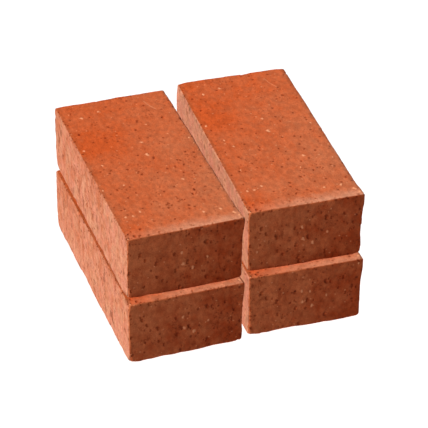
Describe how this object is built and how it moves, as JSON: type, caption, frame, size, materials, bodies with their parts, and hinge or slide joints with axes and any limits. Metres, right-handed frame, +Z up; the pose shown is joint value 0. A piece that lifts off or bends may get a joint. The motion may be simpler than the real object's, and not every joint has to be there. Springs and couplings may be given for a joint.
{
  "type": "stack of clay bricks",
  "caption": "Loose solid bricks of fired red clay, stacked two by two with their header ends in line; each brick lifts off.",
  "frame": {"origin": "on the ground, under the middle of the stack's box", "axes": "+Z up, +Y along the bricks from their front headers to their back headers, +X from the left stack to the right stack"},
  "size_m": [0.2064, 0.214, 0.1146],
  "materials": {
    "fired_clay": "matte"
  },
  "bodies": {
    "lower_left": {"brick_lower_left": "fired_clay"},
    "upper_left": {"brick_upper_left": "fired_clay"},
    "lower_right": {"brick_lower_right": "fired_clay"},
    "upper_right": {"brick_upper_right": "fired_clay"}
  },
  "joints": [
    {"name": "upper_left_lift", "type": "slide", "parent": "lower_left", "child": "upper_left", "axis": [0, 0, 1], "range_m": [0, 0.1]},
    {"name": "right_stack_slide", "type": "slide", "parent": "lower_left", "child": "lower_right", "axis": [1, 0, 0], "range_m": [-0.002, 0.1]},
    {"name": "upper_right_lift", "type": "slide", "parent": "lower_right", "child": "upper_right", "axis": [0, 0, 1], "range_m": [0, 0.1]}
  ]
}
